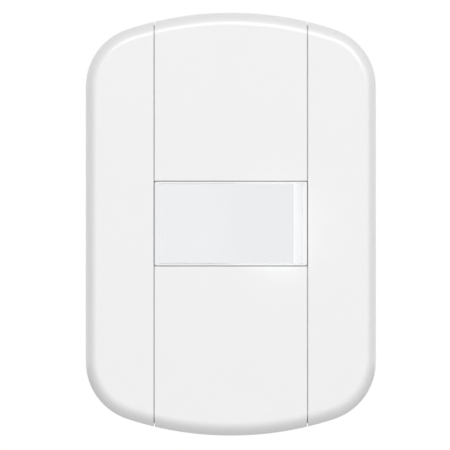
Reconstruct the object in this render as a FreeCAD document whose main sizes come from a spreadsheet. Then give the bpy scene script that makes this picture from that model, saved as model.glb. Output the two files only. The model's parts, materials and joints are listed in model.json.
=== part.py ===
import FreeCAD, Part
import math
import os
import re

import Sketcher

# Two-way light switch for a 4 x 2 inch wall box: a clip-on cover plate, the plastic frame
# that carries it, and one rocker module in the middle one of the frame's three bays.
# +X is right and +Z is up as seen from the room, and -Y points out of the wall.
# The wall's surface is y = 0, and a height is a distance out from it, along -Y.

os.makedirs("parts", exist_ok=True)
doc = FreeCAD.newDocument("two_way_light_switch")

# Driving dimensions in millimetres and degrees.
SIZES = {
    # Cover plate
    "plate_width": 82.0,
    "plate_tall": 119.5,
    "plate_height": 9.0,
    "plate_wall": 2.0,
    "plate_crown_radius": 93.5,
    "plate_corner_radius": 17.1,
    "rim_side_width": 3.3,
    "rim_crown_width": 3.8,
    "hollow_edge_radius": 3.5,
    "groove_offset": 0.135,
    "groove_width": 0.3,
    "groove_depth": 1.0,
    "window_gap": 0.25,
    "window_corner_radius": 0.2,
    "post_edge_distance": 3.4,
    "post_up": 26.0,
    "post_thick": 1.6,
    "post_wide": 5.0,
    "post_hook": 0.7,
    "post_end_gap": 0.3,
    # Mounting frame
    "frame_side_gap": 6.0,
    "frame_end_gap": 5.75,
    "frame_thick": 2.0,
    "frame_corner_radius": 8.0,
    "rail_depth": 6.5,
    "rail_thick": 1.5,
    "rim_height": 5.6,
    "rim_wall": 1.6,
    "rim_gap": 0.275,
    "module_spacing": 0.3,
    "bay_gap": 0.3,
    "box_screw_margin": 3.925,
    "box_slot_length": 7.0,
    "box_slot_gap": 0.25,
    "catch_gap": 0.2,
    "catch_ledge": 0.8,
    # Screws into the wall box
    "box_screw_radius": 1.75,
    "box_screw_neck_radius": 1.5,
    "box_screw_head_radius": 3.1,
    "box_screw_head_height": 2.2,
    "box_screw_reach": 23.0,
    "box_screw_dome_radius": 6.0,
    "box_screw_dome_drop": 0.85,
    "box_screw_point": 0.8,
    "recess_width": 0.8,
    "recess_share": 0.6,
    "recess_depth": 1.1,
    # Module body
    "module_width": 43.05,
    "module_tall": 23.7,
    "module_corner_radius": 0.5,
    "module_edge_radius": 0.3,
    "module_side_wall": 0.6,
    "lip_height": 2.6,
    "ledge_thick": 0.6,
    "box_end_step": 1.425,
    "box_side_step": 0.85,
    "box_wall": 1.3,
    "ear_half_width": 4.5,
    "ear_cover": 1.15,
    "latch_half_width": 4.2,
    "latch_reach": 1.1,
    "latch_length": 4.5,
    "latch_slot": 0.8,
    "latch_gap": 0.05,
    "latch_side_step": 0.2,
    "latch_tongue_length": 6.75,
    "latch_room": 1.1,
    # Rocker
    "pivot_depth": 7.4,
    "cavity_inset": 0.045,
    "rocker_end_gap": 0.15,
    "rocker_side_gap": 0.12,
    "rocker_rise": 2.22,
    "rocker_tilt": 7.1,
    "wing_angle": 7.1,
    "valley_radius": 38.0,
    "rocker_edge_radius": 0.3,
    "rocker_wall": 1.4,
    "skirt_gap": 0.185,
    "trunnion_radius": 1.8,
    "trunnion_gap": 0.05,
    "trunnion_reach": 1.2,
    "cheek_thick": 1.5,
    "cheek_radius": 3.5,
    "cheek_gap": 0.15,
    "web_thick": 1.4,
    "web_drop": 1.2,
    "root_sink": 0.2,
    "tube_radius": 2.9,
    "tube_reach": 6.0,
    "spring_seat_height": 4.5,
    # Plunger and its spring
    "plunger_radius": 1.85,
    "plunger_gap": 0.07,
    "plunger_length": 8.5,
    "plunger_tip_depth": 10.0,
    "spring_wire": 0.4,
    "spring_radius": 1.45,
    "spring_turns": 6,
    "spring_end_gap": 0.04,
    # Rocking contact and fixed contacts
    "tip_clearance": 0.05,
    "contact_tilt": 5.0,
    "contact_half_length": 10.0,
    "contact_half_width": 2.5,
    "strip_thick": 0.8,
    "rivet_end_distance": 1.8,
    "rivet_radius": 1.5,
    "rivet_height": 0.9,
    "rivet_dome_radius": 3.0,
    "contact_touch_gap": 0.03,
    "contact_rise": 3.15,
    "fixed_rivet_radius": 1.7,
    "rivet_margin": 0.4,
    "knife_half_width": 1.2,
    "knife_gap": 0.03,
    "lug_half_width": 0.7,
    "lug_half_span": 3.6,
    "prong_width": 0.95,
    "prong_gap": 0.25,
    "prong_height": 1.4,
    # Module base and its wire clamps
    "base_back_wall": 1.5,
    "terminal_end_gap": 1.35,
    "cage_half_width": 3.6,
    "cage_wall": 0.9,
    "cage_end_wall": 1.2,
    "cage_length": 6.5,
    "cage_below_floor": 0.6,
    "cage_back_gap": 1.0,
    "cage_travel": 2.2,
    "cage_stop_gap": 1.1,
    "chamber_gap": 0.2,
    "chamber_end_gap": 0.4,
    "bar_side_gap": 0.3,
    "bar_level": -1.5,
    "bar_end_gap": 1.3,
    "clamp_screw_radius": 1.45,
    "clamp_thread_gap": 0.05,
    "clamp_head_radius": 2.0,
    "clamp_head_height": 1.7,
    "clamp_head_gap": 0.1,
    "clamp_neck_radius": 1.7,
    "wire_hole_radius": 2.0,
    "tongue_half_width": 1.8,
    "tongue_across": 10.0,
    "tongue_thick": 1.15,
    "tongue_length": 5.4,
    "tongue_catch": 0.9,
    "tongue_catch_depth": 2.0,
    "relief_depth": 6.0,
    "relief_width": 2.1,
}

# Values worked out from the driving dimensions, by the names they are used under.
DERIVED = {
    # Plate outline: a crown arc top and bottom, a corner arc at each side, straight sides.
    "corner_across": "plate_width / 2 - plate_corner_radius",
    "crown_centre": "plate_tall / 2 - plate_crown_radius",
    "inner_height": "plate_height - plate_wall",
    "groove_across": "module_width / 2 + groove_offset",
    "groove_up": "crown_centre + sqrt(plate_crown_radius^2 - groove_across^2)",
    # Frame and module levels. The box screws come out 83.3 mm apart, as the wall box has them.
    "frame_width": "plate_width - 2 * plate_wall - 2 * frame_side_gap",
    "frame_tall": "plate_tall - 2 * plate_wall - 2 * frame_end_gap",
    "post_across": "frame_width / 2 - post_edge_distance - post_thick",
    "rail_height": "plate_height - rail_depth",
    "rail_underside": "rail_height - rail_thick",
    "box_width": "module_width - 2 * box_end_step",
    "box_tall": "module_tall - 2 * box_side_step",
    "bay_pitch": "module_tall + module_spacing",
    "bay_width": "box_width + 2 * bay_gap",
    "bay_tall": "box_tall + 2 * bay_gap",
    "rim_width": "module_width + 2 * rim_gap",
    "rim_tall": "2 * bay_pitch + module_tall + 2 * rim_gap",
    "box_screw_up": "rim_tall / 2 + rim_wall + box_screw_margin",
    "slot_radius": "box_screw_radius + box_slot_gap",
    "catch_floor": "frame_thick - catch_ledge",
    "pivot_level": "plate_height - pivot_depth",
    "lip_underside": "plate_height - lip_height",
    "ledge_top": "rail_height + ledge_thick",
    "cavity_half_tall": "module_tall / 2 - module_side_wall",
    "cavity_radius": "module_width / 2 - cavity_inset",
    "box_inner_half_width": "box_width / 2 - box_wall",
    "box_inner_half_tall": "box_tall / 2 - box_wall",
    "ear_top": "pivot_level + trunnion_radius + trunnion_gap + ear_cover",
    "latch_top": "rail_underside - latch_gap",
    # Rocker, in its own coordinates: heights are measured from the pivot. When it is tilted, the
    # low corner of its skirt stays clear of the ledge by the skirt gap.
    "rocker_end_radius": "cavity_radius - rocker_end_gap",
    "rocker_edge_height": "pivot_depth + rocker_rise",
    "skirt_low": "ledge_top + skirt_gap - pivot_level",
    "skirt_low_across": "sqrt(rocker_end_radius^2 - skirt_low^2)",
    "skirt_height": "skirt_low_across * sin(rocker_tilt) + skirt_low * cos(rocker_tilt)",
    "rocker_half_tall": "cavity_half_tall - rocker_side_gap",
    "edge_across": "sqrt(rocker_end_radius^2 - rocker_edge_height^2)",
    "skirt_across": "sqrt(rocker_end_radius^2 - skirt_height^2)",
    "valley_height": "rocker_edge_height - edge_across * tan(wing_angle)",
    "valley_across": "valley_radius * sin(wing_angle)",
    "valley_side_height": "valley_height + valley_across * tan(wing_angle)",
    "inner_radius": "rocker_end_radius - rocker_wall",
    "inner_skirt_across": "sqrt(inner_radius^2 - skirt_height^2)",
    "inner_valley_height": "valley_height - rocker_wall",
    "wing_slope": "tan(wing_angle)",
    "inner_corner_root": "sqrt(inner_radius^2 * (1 + wing_slope^2) - inner_valley_height^2)",
    "inner_corner_across": "(inner_corner_root - inner_valley_height * wing_slope) / (1 + wing_slope^2)",
    "inner_corner_height": "inner_valley_height + inner_corner_across * wing_slope",
    "root_height": "inner_valley_height + root_sink",
    "rocker_inner_half_tall": "box_inner_half_tall",
    "cheek_outer": "box_inner_half_tall - cheek_gap",
    "trunnion_end": "box_inner_half_tall + trunnion_reach",
    "bore_radius": "plunger_radius + plunger_gap",
    "plunger_top": "plunger_length - plunger_tip_depth",
    # Rocking contact: its axis is the knife edge that its underside sits on.
    "contact_axis": "pivot_level - plunger_tip_depth - tip_clearance - strip_thick",
    "floor_level": "contact_axis - contact_rise",
    "strip_top": "floor_level + strip_thick",
    "moving_rivet_across": "contact_half_length - rivet_end_distance",
    "dome_rise": "rivet_dome_radius - rivet_height",
    "closed_across": "moving_rivet_across * cos(contact_tilt) + dome_rise * sin(contact_tilt)",
    "dome_drop": "moving_rivet_across * sin(contact_tilt) - dome_rise * cos(contact_tilt)",
    "closed_drop": "dome_drop + rivet_dome_radius",
    "fixed_rivet_top": "contact_axis - closed_drop - contact_touch_gap",
    "fixed_rivet_height": "fixed_rivet_top - strip_top",
    # Base and clamps. Each clamp has a third of the base's width.
    "terminal_pitch": "(box_width - 2 * terminal_end_gap) / 3",
    "cage_middle": "floor_level - cage_below_floor - cage_length / 2",
    "chamber_floor": "cage_middle - cage_length / 2 - cage_back_gap",
    "back_level": "chamber_floor - base_back_wall",
    "head_low": "-box_inner_half_tall + clamp_head_gap",
    "cage_low_limit": "head_low + clamp_head_height + cage_stop_gap",
    "cage_tall": "-2 * (cage_low_limit + cage_travel)",
    "bar_half_width": "cage_half_width - cage_wall - bar_side_gap",
    "wire_low": "bar_level + strip_thick",
    "wire_high": "cage_tall / 2 - cage_end_wall",
    "wire_up": "(wire_low + wire_high) / 2",
    "chamber_low": "-cage_tall / 2 - cage_travel - chamber_end_gap",
    "chamber_high": "cage_tall / 2 + chamber_end_gap",
    "chamber_half_width": "cage_half_width + chamber_gap",
    "tongue_outer": "box_inner_half_tall - cheek_gap",
    "tongue_middle": "floor_level + tongue_length / 2",
}

sheet = doc.addObject("Spreadsheet::Sheet", "Dims")
for row, (word, size) in enumerate(SIZES.items(), start=1):
    sheet.set(f"B{row}", str(size))
    sheet.setAlias(f"B{row}", word)
doc.recompute()


def tie(text):
    """An expression in the words above, with each word tied to its cell of the sheet."""

    def cell(match):
        word = match[0]
        if word in DERIVED:
            return f"({tie(DERIVED[word])})"
        return f"Dims.{word}" if word in SIZES else word

    return re.sub(r"[a-z_]\w*", cell, str(text))


def value(text):
    """The number that an expression gives now."""
    return float(sheet.evalExpression(tie(text)))


def new_body(name):
    body = doc.addObject("PartDesign::Body", name)
    body.Label = name
    return body


def new_sketch(body, plane, level):
    """A sketch on one of the body's own planes, moved along that plane's normal to a level."""
    drawing = body.newObject("Sketcher::SketchObject", body.Name + "_sketch")
    datum = next(item for item in body.Origin.OriginFeatures if item.Role == plane)
    drawing.AttachmentSupport = [(datum, "")]
    drawing.MapMode = "FlatFace"
    drawing.setExpression("AttachmentOffset.Base.z", tie(level))
    return drawing


def hold(drawing, geometry, end, across, up):
    """Fixes one point of a sketch at a place given as two expressions."""
    for kind, text, axis in (("DistanceX", across, -2), ("DistanceY", up, -1)):
        if str(text) == "0":
            drawing.addConstraint(Sketcher.Constraint("PointOnObject", geometry, end, axis))
            continue
        number = drawing.addConstraint(Sketcher.Constraint(kind, -1, 1, geometry, end, value(text)))
        drawing.setExpression(f"Constraints[{number}]", tie(text))


def outline(drawing, corners):
    """A closed loop through corners given as (across, up). A third entry is the radius of a
    round stretch from that corner to the next, negative where it turns clockwise, or the word
    half for a half circle, whose centre then lies level with or straight above its ends."""
    first = drawing.GeometryCount
    places = [FreeCAD.Vector(value(corner[0]), value(corner[1]), 0) for corner in corners]
    count = len(corners)
    ends = []
    for index, corner in enumerate(corners):
        start = places[index]
        stop = places[(index + 1) % count]
        if len(corner) == 2:
            drawing.addGeometry(Part.LineSegment(start, stop))
            ends.append((1, 2))
            continue
        chord = stop - start
        half = corner[2] == "half"
        turn = 1 if half else math.copysign(1, value(corner[2]))
        radius = chord.Length / 2 if half else abs(value(corner[2]))
        reach = math.sqrt(max(radius**2 - (chord.Length / 2) ** 2, 0))
        centre = (start + stop) / 2 + FreeCAD.Vector(-chord.y, chord.x, 0) / chord.Length * reach * turn
        low, high = (start, stop) if turn > 0 else (stop, start)
        angles = [math.atan2(point.y - centre.y, point.x - centre.x) for point in (low, high)]
        circle = Part.Circle(centre, FreeCAD.Vector(0, 0, 1), radius)
        drawing.addGeometry(Part.ArcOfCircle(circle, *angles))
        ends.append((1, 2) if turn > 0 else (2, 1))
    for index, corner in enumerate(corners):
        here = first + index
        after = first + (index + 1) % count
        joint = (here, ends[index][1], after, ends[(index + 1) % count][0])
        drawing.addConstraint(Sketcher.Constraint("Coincident", *joint))
        hold(drawing, here, ends[index][0], corner[0], corner[1])
        if len(corner) == 3 and corner[2] == "half":
            chord = places[(index + 1) % count] - places[index]
            level = "Vertical" if abs(chord.x) < abs(chord.y) else "Horizontal"
            drawing.addConstraint(Sketcher.Constraint(level, here, 3, here, 1))
        elif len(corner) == 3:
            radius = abs(value(corner[2]))
            number = drawing.addConstraint(Sketcher.Constraint("Radius", here, radius))
            drawing.setExpression(f"Constraints[{number}]", tie(f"abs({corner[2]})"))


def rectangle(left, right, low, high):
    """Draws a plain rectangle between two places across and two places up."""
    return lambda drawing: outline(drawing, [(left, low), (right, low), (right, high), (left, high)])


def centred(width, tall, up="0"):
    """Draws a rectangle centred across, at a place up."""
    return rectangle(f"-({width}) / 2", f"({width}) / 2", f"{up} - ({tall}) / 2", f"{up} + ({tall}) / 2")


def circle(across, up, radius):
    """Draws one circle."""

    def draw(drawing):
        centre = FreeCAD.Vector(value(across), value(up), 0)
        geometry = drawing.addGeometry(Part.Circle(centre, FreeCAD.Vector(0, 0, 1), value(radius)))
        hold(drawing, geometry, 3, across, up)
        number = drawing.addConstraint(Sketcher.Constraint("Radius", geometry, value(radius)))
        drawing.setExpression(f"Constraints[{number}]", tie(radius))

    return draw


def loop(corners):
    return lambda drawing: outline(drawing, corners)


def add(body, plane, low, high, *shapes):
    """Adds material from one level to a higher one along the plane's normal."""
    drawing = new_sketch(body, plane, low)
    for shape in shapes:
        shape(drawing)
    feature = body.newObject("PartDesign::Pad", body.Name + "_pad")
    feature.Profile = drawing
    feature.setExpression("Length", tie(f"({high}) - ({low})"))
    return feature


def cut(body, plane, low, high, *shapes):
    """Takes material away between the same two levels. It stops the script if nothing goes."""
    doc.recompute()
    before = body.Shape.Volume
    drawing = new_sketch(body, plane, high)
    for shape in shapes:
        shape(drawing)
    feature = body.newObject("PartDesign::Pocket", body.Name + "_pocket")
    feature.Profile = drawing
    feature.setExpression("Length", tie(f"({high}) - ({low})"))
    doc.recompute()
    if body.Shape.Volume >= before:
        raise RuntimeError(f"{feature.Name} cuts nothing")
    return feature


def round_edges(body, radius, wanted):
    """Rounds the edges of the body's present shape that a test picks."""
    doc.recompute()
    tip = body.Tip
    names = [f"Edge{number}" for number, edge in enumerate(tip.Shape.Edges, start=1) if wanted(edge)]
    if not names:
        raise RuntimeError(f"{body.Name} has no edge to round")
    feature = body.newObject("PartDesign::Fillet", body.Name + "_rounding")
    feature.Base = (tip, names)
    feature.setExpression("Radius", tie(radius))
    doc.recompute()
    return feature


def near(first, second):
    return abs(first - second) < 1e-4


def within(edge, axis, low, high):
    """Whether all of an edge lies between two places along an axis."""
    box = edge.BoundBox
    lowest = getattr(box, axis + "Min")
    highest = getattr(box, axis + "Max")
    return lowest > low - 1e-4 and highest < high + 1e-4


def both_sides(near_side, far_side):
    """One stretch and its mirror image across the middle, each as (low, high)."""
    return ((near_side, far_side), (f"-({far_side})", f"-({near_side})"))


# Planes by what lies along them. FRONT's normal points out of the wall, so its levels are heights.
FRONT = "XZ_Plane"
PLAN = "XY_Plane"
SIDE = "YZ_Plane"
ENDS = {"left": "-", "right": ""}


def plate_outline(side_inset, crown_inset):
    """The plate's silhouette, moved inward by one amount at its sides and corners and by another
    at its crowns: four corner arcs that touch two crown arcs and two straight sides."""
    side = f"(plate_width / 2 - ({side_inset}))"
    corner = f"(plate_corner_radius - ({side_inset}))"
    crown = f"(plate_crown_radius - ({crown_inset}))"
    rise = f"sqrt(({crown} - {corner})^2 - corner_across^2)"
    corner_up = f"(crown_centre + {rise})"
    tangent_across = f"(corner_across * {crown} / ({crown} - {corner}))"
    tangent_up = f"(crown_centre + {rise} * {crown} / ({crown} - {corner}))"
    return loop(
        [
            (side, f"-{corner_up}"),
            (side, corner_up, corner),
            (tangent_across, tangent_up, crown),
            (f"-{tangent_across}", tangent_up, corner),
            (f"-{side}", corner_up),
            (f"-{side}", f"-{corner_up}", corner),
            (f"-{tangent_across}", f"-{tangent_up}", crown),
            (tangent_across, f"-{tangent_up}", corner),
        ]
    )


# The rim leans in from the wall to the face as a quarter of an ellipse, given at these angles.
RIM_ANGLES = range(0, 91, 15)


def make_cover_plate():
    """One moulding: a rounded shell with the module's window, two long grooves and four snap posts."""
    body = new_body("cover_plate")
    rings = []
    for angle in RIM_ANGLES:
        ring = new_sketch(body, FRONT, f"plate_height * sin({angle})")
        leaning = f"(1 - cos({angle}))"
        plate_outline(f"rim_side_width * {leaning}", f"rim_crown_width * {leaning}")(ring)
        rings.append(ring)
    shell = body.newObject("PartDesign::AdditiveLoft", "cover_plate_shell")
    shell.Profile = rings[0]
    shell.Sections = rings[1:]
    cut(body, FRONT, "0", "inner_height", plate_outline("plate_wall", "plate_wall"))
    hollow_end = -value("inner_height")
    round_edges(body, "hollow_edge_radius", lambda edge: within(edge, "Y", hollow_end, hollow_end))
    window = centred("module_width + 2 * window_gap", "module_tall + 2 * window_gap")
    cut(body, FRONT, "inner_height", "plate_height", window)
    half_window = value("module_width / 2 + window_gap")
    round_edges(
        body,
        "window_corner_radius",
        lambda edge: near(edge.BoundBox.YLength, value("plate_wall"))
        and near(abs(edge.BoundBox.XMin), half_window)
        and near(edge.BoundBox.XLength, 0),
    )
    # Each groove follows the face and the rounded rim at one depth, down to the wall.
    for side in ("-", ""):
        middle = f"{side}groove_across"
        upper = [
            (
                f"-(plate_height - groove_depth) * sin({angle})",
                f"(groove_up - groove_depth - (rim_crown_width - groove_depth) * (1 - cos({angle})))",
            )
            for angle in RIM_ANGLES
        ]
        lower = [(across, f"-{up}") for across, up in reversed(upper)]
        back = [("plate_height", lower[-1][1]), ("plate_height", upper[0][1])]
        core = loop(back + upper + lower)
        around = rectangle("-2 * plate_height", "2 * plate_height", "-plate_tall", "plate_tall")
        cut(body, SIDE, f"{middle} - groove_width / 2", f"{middle} + groove_width / 2", around, core)
    # Snap posts stand behind the face and hook under the frame.
    hook_top = "catch_floor - latch_gap"
    for low, high in both_sides("post_up - post_wide / 2", "post_up + post_wide / 2"):
        for left, right in both_sides("post_across", "post_across + post_thick"):
            add(body, FRONT, "post_end_gap", "inner_height", rectangle(left, right, low, high))
        for left, right in both_sides("post_across + post_thick", "post_across + post_thick + post_hook"):
            add(body, FRONT, "post_end_gap", hook_top, rectangle(left, right, low, high))
    return body


def make_mounting_frame():
    """Screwed to the wall box: a flange with three bays, the rails that modules clip under, and
    a raised rim around them. Slots take the box screws, and four catches take the plate's posts."""
    body = new_body("mounting_frame")
    add(body, FRONT, "0", "frame_thick", centred("frame_width", "frame_tall"))
    half = value("frame_width / 2")
    round_edges(
        body,
        "frame_corner_radius",
        lambda edge: near(abs(edge.BoundBox.XMin), half)
        and near(edge.BoundBox.XLength, 0)
        and near(edge.BoundBox.ZLength, 0),
    )
    rim = centred("rim_width + 2 * rim_wall", "rim_tall + 2 * rim_wall")
    add(body, FRONT, "frame_thick", "rim_height", rim)
    cut(body, FRONT, "rail_height", "rim_height", centred("rim_width", "rim_tall"))
    for step in ("-bay_pitch", "0", "bay_pitch"):
        cut(body, FRONT, "0", "rail_height", centred("bay_width", "bay_tall", step))
        latch_wide = "bay_width + 2 * (latch_reach + latch_room)"
        latch_tall = "2 * latch_half_width + 2 * bay_gap"
        cut(body, FRONT, "0", "rail_underside", centred(latch_wide, latch_tall, step))
    for up in ("-box_screw_up", "box_screw_up"):
        straight = "(box_slot_length / 2 - slot_radius)"
        slot = loop(
            [
                (f"-{straight}", f"{up} - slot_radius"),
                (straight, f"{up} - slot_radius", "half"),
                (straight, f"{up} + slot_radius"),
                (f"-{straight}", f"{up} + slot_radius", "half"),
            ]
        )
        cut(body, FRONT, "0", "frame_thick", slot)
    inner = "post_across - catch_gap"
    outer = "post_across + post_thick + catch_gap"
    half_wide = "(post_wide / 2 + catch_gap)"
    for low, high in both_sides(f"post_up - {half_wide}", f"post_up + {half_wide}"):
        for left, right in both_sides(inner, outer):
            cut(body, FRONT, "0", "frame_thick", rectangle(left, right, low, high))
        for left, right in both_sides(inner, f"{outer} + post_hook"):
            cut(body, FRONT, "0", "catch_floor", rectangle(left, right, low, high))
    return body


def make_module_body():
    """The module's moulded body: front lips around the rocker, side ears that hold its
    trunnions, a box behind that passes through the frame's bay, and a latch on each end."""
    body = new_body("module_body")
    add(body, FRONT, "rail_height", "plate_height", centred("module_width", "module_tall"))
    half = value("module_width / 2")
    round_edges(
        body,
        "module_corner_radius",
        lambda edge: near(abs(edge.BoundBox.XMin), half)
        and near(edge.BoundBox.XLength, 0)
        and near(edge.BoundBox.ZLength, 0),
    )
    front = -value("plate_height")
    round_edges(body, "module_edge_radius", lambda edge: within(edge, "Y", front, front))
    add(body, FRONT, "floor_level", "rail_height", centred("box_width", "box_tall"))
    # The rocker's ends swing in windows below the lips, and the lips follow their arc.
    window = rectangle("-module_width", "module_width", "-lip_underside", "-ledge_top")
    cut(body, PLAN, "-cavity_half_tall", "cavity_half_tall", window)
    lip_low = "sqrt(cavity_radius^2 - (lip_underside - pivot_level)^2)"
    lip_top = "(plate_height + plate_wall)"
    lip_high = f"sqrt(cavity_radius^2 - ({lip_top} - pivot_level)^2)"
    mouth = loop(
        [
            (lip_low, "-lip_underside"),
            (f"-{lip_low}", "-lip_underside", "cavity_radius"),
            (f"-{lip_high}", f"-{lip_top}"),
            (lip_high, f"-{lip_top}", "cavity_radius"),
        ]
    )
    cut(body, PLAN, "-cavity_half_tall", "cavity_half_tall", mouth)
    for low, high in both_sides("box_inner_half_tall", "cavity_half_tall"):
        ear = rectangle("-ear_half_width", "ear_half_width", low, high)
        add(body, FRONT, "rail_height", "ear_top", ear)
    inside = centred("2 * box_inner_half_width", "2 * box_inner_half_tall")
    cut(body, FRONT, "floor_level", "ledge_top", inside)
    socket = circle("0", "-pivot_level", "trunnion_radius + trunnion_gap")
    cut(body, PLAN, "-module_tall / 2", "module_tall / 2", socket)
    # A latch hook on each end, on a tongue that a slot on three sides sets free.
    hook_low = "-(latch_top - latch_length)"
    hook_half = "(latch_half_width - latch_side_step)"
    for sign in ("-", ""):
        wall = f"{sign}box_width / 2"
        tip = f"{sign}(box_width / 2 + latch_reach)"
        hook = loop([(wall, "-latch_top"), (tip, "-latch_top"), (wall, hook_low)])
        add(body, PLAN, f"-{hook_half}", hook_half, hook)
    tongue_root = "-(latch_top - latch_tongue_length)"
    slot_outer = "(latch_half_width + latch_slot)"
    for low, high in both_sides("latch_half_width", slot_outer):
        slot = rectangle("-latch_top - latch_slot", tongue_root, low, high)
        cut(body, SIDE, "-box_width / 2", "box_width / 2", slot)
    over = rectangle("-latch_top - latch_slot", "-latch_top", f"-{slot_outer}", slot_outer)
    cut(body, SIDE, "-box_width / 2", "box_width / 2", over)
    # Windows in the long walls take the catches of the base's tongues.
    for across in ("-tongue_across", "tongue_across"):
        window = rectangle(
            f"{across} - tongue_half_width - chamber_gap",
            f"{across} + tongue_half_width + chamber_gap",
            "-tongue_middle - tongue_catch_depth / 2 - chamber_gap",
            "-tongue_middle + tongue_catch_depth / 2 + chamber_gap",
        )
        cut(body, PLAN, "-box_tall / 2", "box_tall / 2", window)
    return body


def make_rocker():
    """The key that is pressed: a shallow V of two wings over a hollow skirt, with two trunnions
    on cheeks, and below its middle the tube that guides the plunger."""
    body = new_body("rocker")
    section = loop(
        [
            ("-skirt_across", "-skirt_height"),
            ("skirt_across", "-skirt_height", "-rocker_end_radius"),
            ("edge_across", "-rocker_edge_height"),
            ("valley_across", "-valley_side_height", "valley_radius"),
            ("-valley_across", "-valley_side_height"),
            ("-edge_across", "-rocker_edge_height", "-rocker_end_radius"),
        ]
    )
    add(body, PLAN, "-rocker_half_tall", "rocker_half_tall", section)
    skirt = -value("skirt_height")
    half_tall = value("rocker_half_tall")

    def face_edge(edge):
        box = edge.BoundBox
        at_skirt = near(box.YMax, skirt) and near(box.YMin, skirt)
        along_side = near(abs(box.ZMin), half_tall) and near(box.ZLength, 0)
        at_end = near(abs(box.XMin), value("edge_across")) and near(box.XLength, 0)
        return (along_side or at_end) and not at_skirt

    round_edges(body, "rocker_edge_radius", face_edge)
    hollow = loop(
        [
            ("-inner_skirt_across", "-skirt_height"),
            ("inner_skirt_across", "-skirt_height", "-inner_radius"),
            ("inner_corner_across", "-inner_corner_height"),
            ("0", "-inner_valley_height"),
            ("-inner_corner_across", "-inner_corner_height", "-inner_radius"),
        ]
    )
    cut(body, PLAN, "-rocker_inner_half_tall", "rocker_inner_half_tall", hollow)
    web = rectangle("-web_thick / 2", "web_thick / 2", "-root_height", "web_drop")
    add(body, PLAN, "-cheek_outer", "cheek_outer", web)
    cheek = loop(
        [
            ("-cheek_radius", "0"),
            ("-cheek_radius", "-root_height"),
            ("cheek_radius", "-root_height"),
            ("cheek_radius", "0", "half"),
        ]
    )
    for low, high in both_sides("cheek_outer - cheek_thick", "cheek_outer"):
        add(body, PLAN, low, high, cheek)
    for low, high in both_sides("cheek_outer", "trunnion_end"):
        add(body, PLAN, low, high, circle("0", "0", "trunnion_radius"))
    add(body, FRONT, "-tube_reach", "root_height", circle("0", "0", "tube_radius"))
    cut(body, FRONT, "-tube_reach", "spring_seat_height", circle("0", "0", "bore_radius"))
    return body


def seat(piece, axis_height, angle):
    """Puts a piece made about its own axis at that axis's height, turned about +Z."""
    piece.Placement.Rotation = FreeCAD.Rotation(FreeCAD.Vector(0, 0, 1), 1)
    piece.setExpression("Placement.Base.y", tie(f"-{axis_height}"))
    piece.setExpression("Placement.Rotation.Angle", tie(angle))


def turn(body, profile):
    """A solid of revolution about Y, from corners given as (radius, place along the axis)."""
    drawing = new_sketch(body, PLAN, "0")
    outline(drawing, profile)
    feature = body.newObject("PartDesign::Revolution", body.Name + "_revolution")
    feature.Profile = drawing
    feature.ReferenceAxis = (drawing, ["V_Axis"])
    feature.Angle = 360
    return feature


def make_plunger():
    """A round plastic pin with a ball end. It slides in the rocker's tube, on the same axes."""
    body = new_body("plunger")
    turn(
        body,
        [
            ("0", "-plunger_top"),
            ("plunger_radius", "-plunger_top"),
            ("plunger_radius", "plunger_tip_depth - plunger_radius", "plunger_radius"),
            ("0", "plunger_tip_depth"),
        ],
    )
    return body


def bend_through(start, start_way, stop, stop_way):
    """Two arcs that join two places, each tangent to the way given there and to the other arc."""
    chord = stop - start
    ways = start_way + stop_way
    spread = 2 * (1 - start_way.dot(stop_way))
    along = chord.dot(ways)
    reach = (-along + math.sqrt(along**2 + spread * chord.dot(chord))) / spread
    before = start + start_way * reach
    after = stop - stop_way * reach
    middle = (before + after) / 2
    arcs = []
    for first, corner, last in ((start, before, middle), (middle, after, stop)):
        half_chord = (last - first).Length / 2
        cosine = half_chord / reach
        centre = (first + last) / 2
        crest = centre + (corner - centre) * (cosine / (1 + cosine))
        arcs.append(Part.Arc(first, crest, last).toShape())
    return arcs


def make_plunger_spring():
    """A compression spring of round wire between the end of the tube's bore and the plunger. Its
    helix is made of quarter turns, each of two arcs."""
    wire = value("spring_wire")
    radius = value("spring_radius")
    low = value("-spring_seat_height + spring_wire / 2 + spring_end_gap")
    high = value("-plunger_top - spring_wire / 2 - spring_end_gap")
    turns = int(value("spring_turns"))
    steps = 4 * turns
    rise = (high - low) / steps

    def place(step):
        angle = step * math.pi / 2
        return FreeCAD.Vector(radius * math.cos(angle), low + rise * step, -radius * math.sin(angle))

    def way(step):
        angle = step * math.pi / 2
        slope = radius * math.pi / 2
        return FreeCAD.Vector(-slope * math.sin(angle), rise, -slope * math.cos(angle)).normalize()

    arcs = []
    for step in range(steps):
        arcs += bend_through(place(step), way(step), place(step + 1), way(step + 1))
    path = Part.Wire(arcs)
    ring = Part.Wire(Part.Circle(place(0), way(0), wire / 2).toShape())
    tube = path.makePipeShell([ring], True, False)
    pitch = abs(high - low) / turns
    print("spring gap", round(pitch - wire, 3), "pitch", round(pitch, 3))
    spring = doc.addObject("Part::Feature", "plunger_spring")
    spring.Label = "plunger_spring"
    spring.Shape = tube
    return spring


def make_rocking_contact():
    """A brass see-saw on a knife edge. Its own axis is that edge, at the middle of its underside."""
    body = new_body("rocking_contact")
    add(body, FRONT, "0", "strip_thick", centred("2 * contact_half_length", "2 * contact_half_width"))
    half = value("contact_half_length")
    round_edges(
        body,
        "contact_half_width / 2",
        lambda edge: near(abs(edge.BoundBox.XMin), half)
        and near(edge.BoundBox.XLength, 0)
        and near(edge.BoundBox.ZLength, 0),
    )
    add(body, FRONT, "0", "strip_thick", centred("2 * lug_half_width", "2 * lug_half_span"))
    return body


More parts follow.
